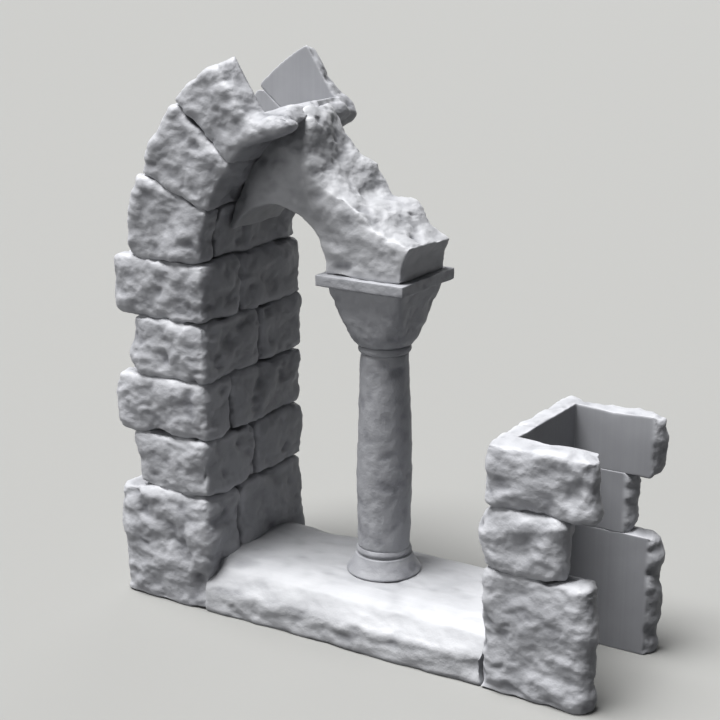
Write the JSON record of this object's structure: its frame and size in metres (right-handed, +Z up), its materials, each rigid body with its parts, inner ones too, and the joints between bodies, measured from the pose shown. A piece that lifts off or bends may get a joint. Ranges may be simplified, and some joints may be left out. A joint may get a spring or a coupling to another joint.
{
  "type": "miniature terrain ruin",
  "caption": "Ruined round-headed two-light window frame in miniature masonry, channelled at its sides to slip over the cut edge of a foam terrain wall.",
  "frame": {"origin": "middle of the base, on the ground: under the axis of the column and midway between the two faces of the wall", "axes": "+X along the wall to the right as seen from the front, towards the lower broken jamb; +Y through the wall from the front face to the back; +Z up"},
  "size_m": [0.093, 0.0294, 0.098],
  "materials": {
    "jamb_stone": "light grey cast resin, matte, pitted like weathered stone",
    "arch_stone": "light grey cast resin, matte, pitted like weathered stone",
    "sill_stone": "light grey cast resin, matte, with long worn streaks",
    "column_stone": "light grey cast resin, matte, finely dented",
    "infill_stone": "light grey cast resin, matte, rough where broken"
  },
  "bodies": {
    "root": {"column_abacus": "column_stone", "column_base": "column_stone", "column_capital": "column_stone", "column_necking": "column_stone", "column_shaft": "column_stone", "left_quoin_1_back": "jamb_stone", "left_quoin_1_front": "jamb_stone", "left_quoin_2_back": "jamb_stone", "left_quoin_2_front": "jamb_stone", "left_quoin_3_back": "jamb_stone", "left_quoin_3_front": "jamb_stone", "left_quoin_4_back": "jamb_stone", "left_quoin_4_front": "jamb_stone", "left_quoin_5_back": "jamb_stone", "left_quoin_5_front": "jamb_stone", "right_quoin_1_back": "jamb_stone", "right_quoin_1_front": "jamb_stone", "right_quoin_2_back": "jamb_stone", "right_quoin_2_front": "jamb_stone", "right_quoin_3_back": "jamb_stone", "right_quoin_3_front": "jamb_stone", "sill": "sill_stone", "tympanum": "infill_stone", "voussoir_1_back": "arch_stone", "voussoir_1_front": "arch_stone", "voussoir_2_back": "arch_stone", "voussoir_2_front": "arch_stone", "voussoir_3_back": "arch_stone", "voussoir_3_front": "arch_stone"}
  },
  "joints": []
}
